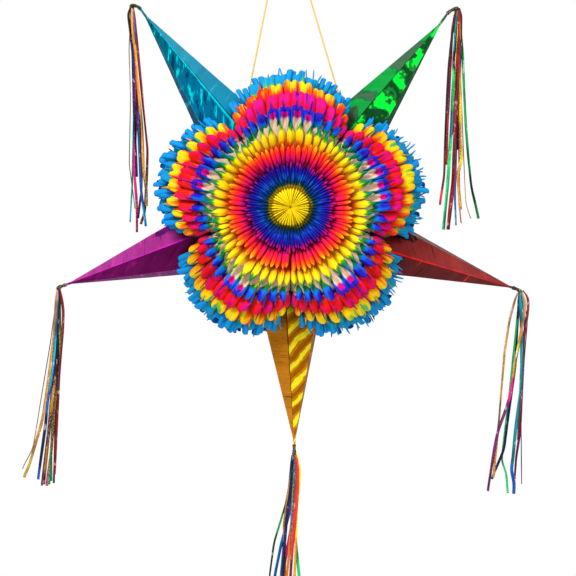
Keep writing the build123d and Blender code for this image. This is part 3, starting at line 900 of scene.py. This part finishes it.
# ---- foil cones ---------------------------------------------------------------------------
def cone(name, materials):
    """A folded six-sided foil cone with small creases. Face 0 is to the right of the front fold."""
    direction = SEAMS[name]
    axis, right = outward(direction), clockwise(direction)
    front = np.array([0.0, -1.0, 0.0])
    columns, rows, neck_rows, neck_turn = 8, 56, 12, 110
    bulge, dent, flute = 0.008, 0.34, 0.14   # of the faces, their creases and the twisted neck
    foot, tip, bend, knot = CONE_LINE[name]
    neck_end = 0.55                          # how far the neck runs from its bend towards the knot
    alongs = np.concatenate([
        np.linspace(foot[0], tip[0], rows), np.linspace(tip[0], bend[0], neck_rows)[1:],
        np.linspace(bend[0], bend[0] + (knot[0] - bend[0]) * neck_end, 4)[1:],
    ])
    asides = np.interp(alongs, *zip(foot, tip, bend, knot))
    build = Build()
    ring = []
    for along, aside in zip(alongs, asides):
        on_neck = max(0.0, (along - tip[0]) / (bend[0] - tip[0]))
        corner = NECK_RADIUS + CONE_SLOPE[name] * max(tip[0] - along, 0.0)
        turn = math.radians(CONE_TWIST[name] + neck_turn * on_neck)
        points = []
        for face in range(6):
            a = math.radians(-90 + 60 * face) + turn
            b = a + math.radians(60)
            for column in range(columns):
                t = column / columns
                x = (1 - t) * math.cos(a) + t * math.cos(b)
                y = (1 - t) * math.sin(a) + t * math.sin(b)
                wobble = noise.noise(Vector((x * corner * 0.06, y * corner * 0.06, along * 0.05 + direction)))
                crease = noise.noise(Vector((x * 2.5, y * 2.5, along * 0.22 + direction)))
                pull = (1 + bulge * wobble) * corner + (dent * crease if 0 < column else 0.0) * (corner > 4)
                pull *= 1 + flute * math.sin(3 * a + 9 * on_neck) * (on_neck > 0)
                points.append(axis * along + right * (x * pull + aside) - front * (y * pull))
        ring.append(points)
    grid = np.array(ring)
    build.grid(grid, closed=True)
    build.fan(grid[0])
    build.fan(grid[-1])
    piece = build.piece(f"foil_{name}", *materials)
    lay_foil(piece, columns, rows, alongs, tip[0], CONE_SLOPE[name])
    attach(piece, "star")
    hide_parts(f"cone_{name}")
    return piece


def lay_foil(piece, columns, rows, alongs, tip, slope):
    """Gives each face of a cone its own film, its place on that film, and sharp folds between faces."""
    mesh = piece.data
    strip_map = mesh.uv_layers.new(name="strip")
    face_map = mesh.uv_layers.new(name="face")
    total = 6 * columns
    unit = 50.0    # millimetres of film in one unit of the strip map
    for polygon in mesh.polygons:
        ids = list(polygon.vertices)
        if max(ids) >= total * len(alongs):
            continue    # a cap
        around = [i % total for i in ids]
        first = total - 1 if max(around) == total - 1 and min(around) == 0 else min(around)
        face = first // columns
        polygon.material_index = face
        for loop in polygon.loop_indices:
            i = mesh.loops[loop].vertex_index
            column = (i % total - face * columns) % total
            along = alongs[i // total]
            width = (NECK_RADIUS + slope * max(tip - along, 0)) / unit
            strip_map.data[loop].uv = ((column / columns - 0.5) * width, along / unit)
            face_map.data[loop].uv = (column / columns, (along - alongs[0]) / (tip - alongs[0]))
    sharp = mesh.attributes.new("sharp_edge", "BOOLEAN", "EDGE")
    for edge in mesh.edges:
        a, b = edge.vertices
        if max(a, b) < total * rows and a % total == b % total and a % columns == 0:
            sharp.data[edge.index].value = True


# ---- streamers ------------------------------------------------------------------------------
COLOURS = {
    "navy": (14, 20, 76), "black": (22, 16, 22), "gold": (220, 150, 30), "rose": (226, 20, 120),
    "blue": (10, 104, 200), "wine": (136, 10, 22), "brown": (140, 96, 60), "teal": (0, 130, 140),
    "green": (0, 150, 70), "mint": (20, 205, 110), "red": (226, 40, 50), "yellow": (250, 216, 30),
    "plum": (112, 20, 100), "cyan": (0, 170, 215), "olive": (120, 90, 20), "tan": (190, 140, 90),
    "forest": (10, 60, 34), "magenta": (216, 10, 130), "orange": (240, 130, 20), "maroon": (96, 16, 20),
}
PLAIN = 400.0   # glitter that would begin past every strip's end


def strip(text):
    """Reads a streamer: width, the drop where glitter begins if any, then dyes and the places they pass.

    A place is a drop below the knot and a distance aside. Gives the width, the drop where glitter begins
    and the stops, each a drop, a distance aside and a dye."""
    width, *course = text.split()
    glitter, dye, stops = PLAIN, None, []
    for mark in course:
        if mark.startswith("glitter:"):
            glitter = float(mark.split(":")[1])
        elif "," in mark:
            drop, aside = mark.split(",")
            stops.append((float(drop), float(aside), dye))
        else:
            dye = mark
    return float(width), glitter, *stops


STRIPS = {
    "upper_left": [
        "3.6 black 0,0 9,-5 32,-2 navy 63,2 122,4 230,8",
        "3.8 glitter:215 gold 0,1 32,2 63,5.5 96,8 161,15 225,17 olive 248,21 gold 269,21",
        "3.8 glitter:262 rose 0,1 80,4 154,7 216,4 magenta 269,8 rose 304,8",
        "3.4 blue 0,2 navy 100,7 blue 180,10 244,13 cyan 296,20",
        "3.6 glitter:220 wine 0,3 60,9 134,16 193,22 maroon 228,21 wine 280,18 293,12",
        "3.2 plum 0,-1 120,9 205,14 244,14 285,9",
        "1.3 brown 0,0 58,-3 122,-1 green 212,-3 272,5",
        "2.2 teal 0,0 150,3 240,1 cyan 290,-2",
    ],
    "upper_right": [
        "3.2 black 0,-2 41,-8 79,-12 157,-16 maroon 225,-18 red 264,-24",
        "5.6 wine 0,2 28,3.5 67,1 105,0 157,-3 maroon 189,-4 wine 234,-6 297,-13",
        "4.5 teal 0,-1 15,-3 47,-3 navy 67,-5 mint 97,-5 118,-6.5 teal 157,-8 mint 189,-10 240,-13.5 "
        "297,-19",
        "4.4 glitter:100 gold 0,1 60,3 yellow 132,3.5 gold 177,4 yellow 201,6 gold 223,0 270,4",
        "3.6 black 0,3 9,5.5 navy 54,4.5 93,3 130,2 190,0",
        "3.4 yellow 0,-4 28,0 67,-1 100,-4 gold 170,-6",
        "3.4 red 0,-2 rose 28,-7 red 67,-8.5 rose 118,-11 red 157,-13 210,-14",
        "3.6 green 0,2 61,7.5 105,9 157,11.5 201,15 forest 240,19 green 282,29",
        "3.0 blue 0,0 150,0 251,-3 cyan 291,-1.5",
        "1.3 tan 0,1 100,5 200,9 264,12 282,19",
        "2.0 red 0,0 150,2 276,4 288,6",
    ],
    "lower_left": [
        "4.0 glitter:60 tan 0,-1 16,-3 53,-5 gold 108,-11 178,-21 206,-29 yellow 240,-39 254,-46",
        "3.8 wine 0,2 20,5.5 32,7 60,6 maroon 120,1 wine 190,-2 250,-5",
        "4.2 blue 0,-1 43,-3 cyan 90,-6 119,-9 blue 151,-14 navy 185,-17 228,-23 blue 257,-27",
        "3.0 black 0,1 9,1 90,-1 141,-2 195,-4 262,-6",
        "4.0 glitter:40 green 0,1 51,2 75,3 olive 108,0 170,-6 green 264,-13",
        "4.2 glitter:120 maroon 0,0 plum 60,-1 maroon 123,-4 gold 141,-7.5 maroon 195,-13 gold 228,-16 "
        "maroon 264,-20",
        "3.8 magenta 0,1 plum 90,0 magenta 174,-5 206,-8.5 266,-16",
        "3.0 plum 0,0 110,-7 190,-14 266,-23",
        "2.8 teal 0,0 130,-6 cyan 200,-10 teal 260,-10",
        "1.3 brown 0,-1 80,-12 150,-24 216,-35 244,-50",
    ],
    "lower_right": [
        "4.2 tan 0,2 16,8 45,3 gold 60,1 yellow 78,-3 gold 94,-6 magenta 137,-12.5 plum 158,-19 "
        "187,-30 212,-35 268,-44",
        "4.5 teal 0,0 60,2 123,1.7 158,-3 191,-7 224,-10 blue 241,-12.5 256,-8 272,-9",
        "3.4 wine 0,4 2,9 12,12.7 28,11.7 60,6 120,2 maroon 200,-3",
        "3.2 glitter:30 brown 0,-1 4,-6 tan 39,-15 gold 82,-21 126,-24.5 olive 170,-28 gold 213,-32 "
        "250,-36",
        "3.4 cyan 0,3 47,7 82,3 blue 115,1 cyan 170,-1",
        "3.4 plum 0,1 100,2 158,1.7 191,0 224,-5 253,-7",
        "3.6 navy 0,-1 100,-6 181,-17 213,-21 253,-38",
        "3.0 mint 0,0 140,-14 229,-24.5 244,-18 272,-16",
        "1.4 plum 0,3 39,10.5 94,6 180,2 260,3",
    ],
    "bottom": [
        "4.6 red 0,1 7,3.6 18,5 45,3.6 70,2 120,-2 wine 164,-5 red 280,-9",
        "3.6 yellow 0,3 15,8 45,7 76,3.6 gold 150,1 262,-3",
        "3.6 navy 0,-1 30,-4 53,-6 76,-9 150,-15 266,-22",
        "3.4 glitter:0 teal 0,0 22,1 45,-1 120,-3 220,-8",
        "4.0 green 0,0 59,-1 90,0 120,2 mint 164,6.7 green 276,11",
        "3.4 orange 0,1 gold 80,-3 orange 134,-7 164,-10 gold 260,-16",
        "3.8 wine 0,0 50,-2 magenta 97,-4 120,-8 wine 157,-14.5 220,-22 274,-27",
        "3.4 glitter:60 gold 0,0 50,-7 97,-14.5 128,-12 200,-14 270,-18",
        "4.0 blue 0,-1 76,-5 94,-10 120,-17 164,-26 255,-34",
        "3.4 teal 0,-1 70,-9 128,-14.5 cyan 164,-18 teal 278,-25",
        "2.8 forest 0,-3 45,-7 67,-11 green 97,-20 forest 120,-27 164,-33 250,-38",
    ],
}


def eased(values, at, amount):
    """Values along a line with their corners rounded off."""
    dense = np.interp(at, values[0], values[1])
    kernel = np.hanning(amount + 2)[1:-1]
    padded = np.pad(dense, amount // 2, mode="edge")
    smooth = np.convolve(padded, kernel / kernel.sum(), mode="valid")[: len(dense)]
    return smooth + (dense[0] - smooth[0]) * np.linspace(1, 0, len(dense)) ** 4


STRIP_THICKNESS = 0.25
DYE_VALUES = ("dye_r", "dye_g", "dye_b")
DEPTHWISE = np.array([0.0, 1.0, 0.0])


def heading(route):
    """Unit vectors along a route."""
    ahead = np.gradient(route, axis=0)
    return ahead / np.linalg.norm(ahead, axis=1)[:, None]


def add_ribbon(build, route, width, face, colours, glitter):
    """A flat strip along a route of points; face is its turn about its own line at each point."""
    ahead = heading(route)
    across = np.cross(ahead, DEPTHWISE)
    across /= np.linalg.norm(across, axis=1)[:, None]
    inward = np.cross(ahead, across)
    side = across * np.cos(face)[:, None] + inward * np.sin(face)[:, None]
    lift = np.cross(side, ahead)
    t = np.linspace(0, 1, len(route))
    half = (width / 2 * (0.45 + 0.55 * smoothstep(t, 0.0, 0.06)))[:, None]
    curl = (0.10 * width * (0.3 + t))[:, None]
    grid = np.stack([route - side * half, route + lift * curl, route + side * half], axis=1)
    dyes = {key: colours[:, channel, None] for channel, key in enumerate(DYE_VALUES)}
    build.grid(grid, glitter=glitter[:, None], **dyes)


def dye_along(stops, at):
    """Linear colours at drops along a strip, changing quickly halfway between its stops."""
    drops = np.array([stop[0] for stop in stops], float)
    rgb = np.array([linear(COLOURS[stop[2]])[:3] for stop in stops])
    edges = (drops[1:] + drops[:-1]) / 2
    colours = np.repeat(rgb[:1], len(at), axis=0)
    for edge, before, after in zip(edges, rgb[:-1], rgb[1:]):
        colours += smoothstep(at, edge - 3, edge + 3)[:, None] * (after - before)
    return np.clip(colours, 0, 1)


def streamer_bundle(name, material):
    """The hanging strips of one cone, fanned out in depth and fluttering a little."""
    rand = random.Random(name)
    start = in_flower(f"tie_{name}")
    build = Build(*DYE_VALUES, "glitter")
    strips = STRIPS[name]
    for lane, (width, sparkles, *stops) in enumerate(map(strip, strips)):
        at = np.linspace(0, stops[-1][0], 60)
        aside = eased(([s[0] for s in stops], [s[1] for s in stops]), at, 5)
        share = lane / (len(strips) - 1) * 2 - 1
        fan = share * (1.8 + 8.0 * smoothstep(at, 5, 240))
        depth = fan + 0.8 * np.sin(at / 47 + 6 * rand.random()) * smoothstep(at, 10, 80)
        flutter = 0.55 * np.sin(at / rand.uniform(21, 38) + 6.28 * rand.random()) * smoothstep(at, 5, 40)
        face = rand.uniform(-0.25, 0.25) + flutter
        route = np.stack([start[0] + aside, start[1] + depth, start[2] - 0.6 - at], axis=1)
        glitter = smoothstep(at, sparkles - 6, sparkles + 6)
        add_ribbon(build, route, width, face, dye_along(stops, at), glitter)
    piece = build.piece(f"strips_{name}", material)
    colour_layer(piece)
    thicken(piece, STRIP_THICKNESS)
    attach(piece, f"streamers_{name}")
    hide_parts(f"streamers_{name}")


def colour_layer(piece):
    """Joins the three dye numbers of each vertex into one colour."""
    mesh = piece.data
    n = len(mesh.vertices)
    rgba = np.ones((n, 4), np.float32)
    for channel, key in enumerate(DYE_VALUES):
        column = np.zeros(n, np.float32)
        mesh.attributes[key].data.foreach_get("value", column)
        rgba[:, channel] = column
    layer = mesh.attributes.new("dye", "FLOAT_COLOR", "POINT")
    layer.data.foreach_set("color", rgba.ravel())
    for key in DYE_VALUES:
        mesh.attributes.remove(mesh.attributes[key])


def tie_hump(name, material):
    """The strips where they leave the neck, bend over and are bound together."""
    bend, knot = on_line(name, 2), in_flower(f"tie_{name}")
    axis = outward(SEAMS[name])
    begin = bend - axis * 5.0
    end = knot - np.array([0.0, 0.0, 4.0])
    steps, sides, lanes = 22, 14, 4
    t = np.linspace(0, 1, steps)[:, None]
    route = (1 - t) ** 3 * begin + 3 * (1 - t) ** 2 * t * (bend + axis * 2)
    route = route + 3 * (1 - t) * t**2 * (knot + axis * 1.5) + t**3 * end
    build = Build(*DYE_VALUES, "glitter")
    ahead = heading(route)
    x = np.cross(ahead, DEPTHWISE)
    y = np.cross(ahead, x)
    a = np.linspace(0, 2 * math.pi, sides, endpoint=False)
    lump = 1 + 0.14 * np.sin(3 * a[None, :] + 7 * t) + 0.08 * np.sin(5 * a[None, :] - 11 * t)
    size = (1.75 + 0.9 * np.exp(-(((t - 0.82) / 0.16) ** 2))) * lump
    ring = x[:, None, :] * np.cos(a)[None, :, None] + y[:, None, :] * np.sin(a)[None, :, None]
    grid = route[:, None, :] + ring * size[..., None]
    dark = linear((14, 30, 22))
    dye = dict(zip(DYE_VALUES, dark))
    build.grid(grid, closed=True, glitter=0.6, **dye)
    build.fan(grid[0], **dye)
    build.fan(grid[-1], **dye)
    rand = random.Random("tie" + name)
    for lane, colour in enumerate(rand.sample(["gold", "navy", "wine", "green", "plum", "teal"], lanes)):
        swing = 2 * math.pi * lane / lanes + 0.8 * math.pi * t[:, 0]
        around = x * np.cos(swing)[:, None] + y * np.sin(swing)[:, None]
        lane_route = route + around * (size.mean(1) + 0.15)[:, None]
        colours = np.repeat([linear(COLOURS[colour])[:3]], len(t), axis=0)
        add_ribbon(build, lane_route, 1.6, swing, colours, np.full(len(t), 0.3))
    piece = build.piece(f"binding_{name}", material)
    colour_layer(piece)
    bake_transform(piece)
    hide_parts(f"tie_{name}")


# ---- string ----------------------------------------------------------------------------------
def string_leg(side, material):
    """One taut leg, from the knot inside its cone up to the knot under the loop."""
    foot = middle(f"stop_knot_{side}")
    top = middle("knot_core")
    radius = 0.0011
    bottom_gap, top_gap = 0.0043, 0.0018    # from the middles of the two knots to its ends
    from_end = 0.013                        # about 6 string diameters
    along = (top - foot).normalized()
    curve = bpy.data.curves.new(f"string_leg_{side}", "CURVE")
    curve.dimensions = "3D"
    spline = curve.splines.new("NURBS")
    first, last = foot + along * bottom_gap, top - along * top_gap
    route = [first, first + along * from_end, last - along * from_end, last]
    spline.points.add(len(route) - 1)
    for point, place_at in zip(spline.points, route):
        point.co = (*place_at, 1.0)
    spline.order_u = 3
    spline.use_endpoint_u = True
    spline.resolution_u = 12
    curve.bevel_depth = radius
    curve.bevel_resolution = 4
    curve.use_fill_caps = True
    curve.materials.append(material)
    leg = show(f"string_leg_{side}", curve)
    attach(leg, "bridle")
    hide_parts(f"string_{side}")


# ---- stage -------------------------------------------------------------------------------------
def camera():
    """Level and straight on, a little below and left of the flower's centre, with a long lens."""
    view_width, distance = 0.772, 4.0
    to_the_left, below = 0.0034, 0.1055
    lens_width = 36.0
    data = bpy.data.cameras.new("camera")
    data.sensor_width = lens_width
    data.lens = lens_width * distance / view_width
    made = show("camera", data)
    made.location = (CENTRE.x - to_the_left, -distance, CENTRE.z - below)
    made.rotation_euler = (math.pi / 2, 0.0, 0.0)
    bpy.context.scene.camera = made


def area_light(name, location, size, power):
    """A square lamp that faces the flower, placed from the flower's centre in metres."""
    data = bpy.data.lights.new(name, "AREA")
    data.size = size
    data.energy = power
    made = show(name, data)
    made.location = CENTRE + Vector(location)
    made.rotation_euler = (-Vector(location)).to_track_quat("-Z", "Y").to_euler()


def studio_world():
    """A white backdrop, and a softer room for light and reflections: bright above, dim below."""
    world = bpy.data.worlds.new("studio")
    world.use_nodes = True
    tree = world.node_tree
    new, link = tree.nodes.new, tree.links.new
    room = tree.nodes["Background"]
    room.inputs["Strength"].default_value = 1.0
    height = new("ShaderNodeSeparateXYZ")
    link(new("ShaderNodeTexCoord").outputs["Generated"], height.inputs[0])
    half = new("ShaderNodeMapRange")
    half.inputs["From Min"].default_value = -1.0
    link(height.outputs["Z"], half.inputs["Value"])
    # grey levels from straight down to straight up
    steps = [(0.0, 0.16), (0.42, 0.30), (0.52, 0.85), (0.7, 0.7), (1.0, 1.25)]
    ramp = new("ShaderNodeValToRGB")
    while len(ramp.color_ramp.elements) < len(steps):
        ramp.color_ramp.elements.new(0.5)
    for element, (position, grey) in zip(ramp.color_ramp.elements, steps):
        element.position = position
        element.color = (grey, grey, grey, 1.0)
    link(half.outputs[0], ramp.inputs["Fac"])
    link(ramp.outputs["Color"], room.inputs["Color"])
    backdrop = new("ShaderNodeBackground")
    backdrop.inputs["Color"].default_value = (1.0, 1.0, 1.0, 1.0)
    mixed = new("ShaderNodeMixShader")
    link(new("ShaderNodeLightPath").outputs["Is Camera Ray"], mixed.inputs[0])
    link(room.outputs[0], mixed.inputs[1])
    link(backdrop.outputs[0], mixed.inputs[2])
    link(mixed.outputs[0], tree.nodes["World Output"].inputs["Surface"])
    bpy.context.scene.world = world


def stage():
    """The backdrop, three lamps and a pale floor below the lowest streamer."""
    studio_world()
    bpy.context.scene.view_settings.view_transform = "Standard"
    area_light("key", (-1.0, -1.9, 1.5), 0.7, 62)
    area_light("fill", (1.6, -1.6, 0.2), 1.4, 12)
    area_light("rim", (0.6, 1.8, 1.0), 1.2, 5)
    floor_drop, radius, corners = 0.06, 0.9, 96
    level = CAD_BOUNDS[0].z - floor_drop
    turns = np.linspace(0, 2 * math.pi, corners, endpoint=False)
    ring = [(radius * math.cos(a), radius * math.sin(a), level) for a in turns]
    mesh = bpy.data.meshes.new("floor")
    mesh.from_pydata(ring, [], [tuple(range(corners))])
    g = Graph("pale_floor", Roughness=0.8)
    colour = g.ramp(g.noise(3.0, 3.0), [(0.3, (232, 232, 230)), (0.7, (238, 238, 236))])
    mesh.materials.append(g.finish(colour))
    floor = show("floor", mesh)


def dress(nodes, material):
    """Gives CAD nodes that stay visible a material of their own."""
    for node in nodes:
        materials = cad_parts[node].data.materials
        materials.clear()
        materials.append(material)


camera()
STRING = string_material()
dress(("hang_loop", "knot_turn", "knot_core", "stop_knot_left", "stop_knot_right"), STRING)
string_leg("left", STRING)
string_leg("right", STRING)

dress(("core_side_band", "core_front_panel", "core_back_panel", "fill_door"), board_material())
CARD = card_material()
for name in SEAMS:
    seam_card(name, CARD)

TISSUE = tissue_material()
for name in LOBES:
    tissue_lobe(name, 1, TISSUE)
    tissue_lobe(name, -1, TISSUE)
rosette(TISSUE)

STRIP_FILM = streamer_material()
for name in SEAMS:
    slot_name, faces = FACES[name]
    films = [foil_material(f"{slot_name}_{order}", **face) for order, face in enumerate(faces)]
    cone(name, films)
    streamer_bundle(name, STRIP_FILM)
    tie_hump(name, STRIP_FILM)

stage()
